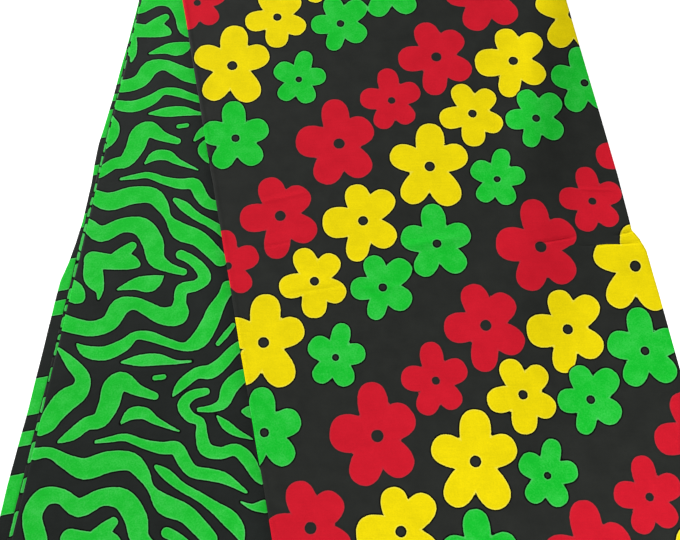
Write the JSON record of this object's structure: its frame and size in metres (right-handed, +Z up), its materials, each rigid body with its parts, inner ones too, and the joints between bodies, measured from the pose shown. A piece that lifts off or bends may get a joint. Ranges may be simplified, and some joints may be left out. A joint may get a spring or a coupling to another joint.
{
  "type": "african wax print fabric",
  "caption": "Length of cotton wax print cloth folded flat, the flowered top run fanned out over runs with zebra stripes.",
  "frame": {"origin": "middle of the footprint of the folded cloth, on the surface that it lies on", "axes": "+Z up, +Y away from the viewer towards the skewed turn, +X to the viewer's right, where the flowered run lies"},
  "size_m": [0.9834, 1.1738, 0.0104],
  "materials": {
    "flower_print": "printed cotton, matt with a faint wax sheen",
    "zebra_print": "printed cotton, matt with a faint wax sheen",
    "black_ground": "dyed cotton, matt"
  },
  "bodies": {
    "root": {"floral_run": "flower_print", "zebra_run": "zebra_print", "third_run": "flower_print", "fourth_run": "zebra_print", "hidden_layers": "black_ground"}
  },
  "joints": []
}
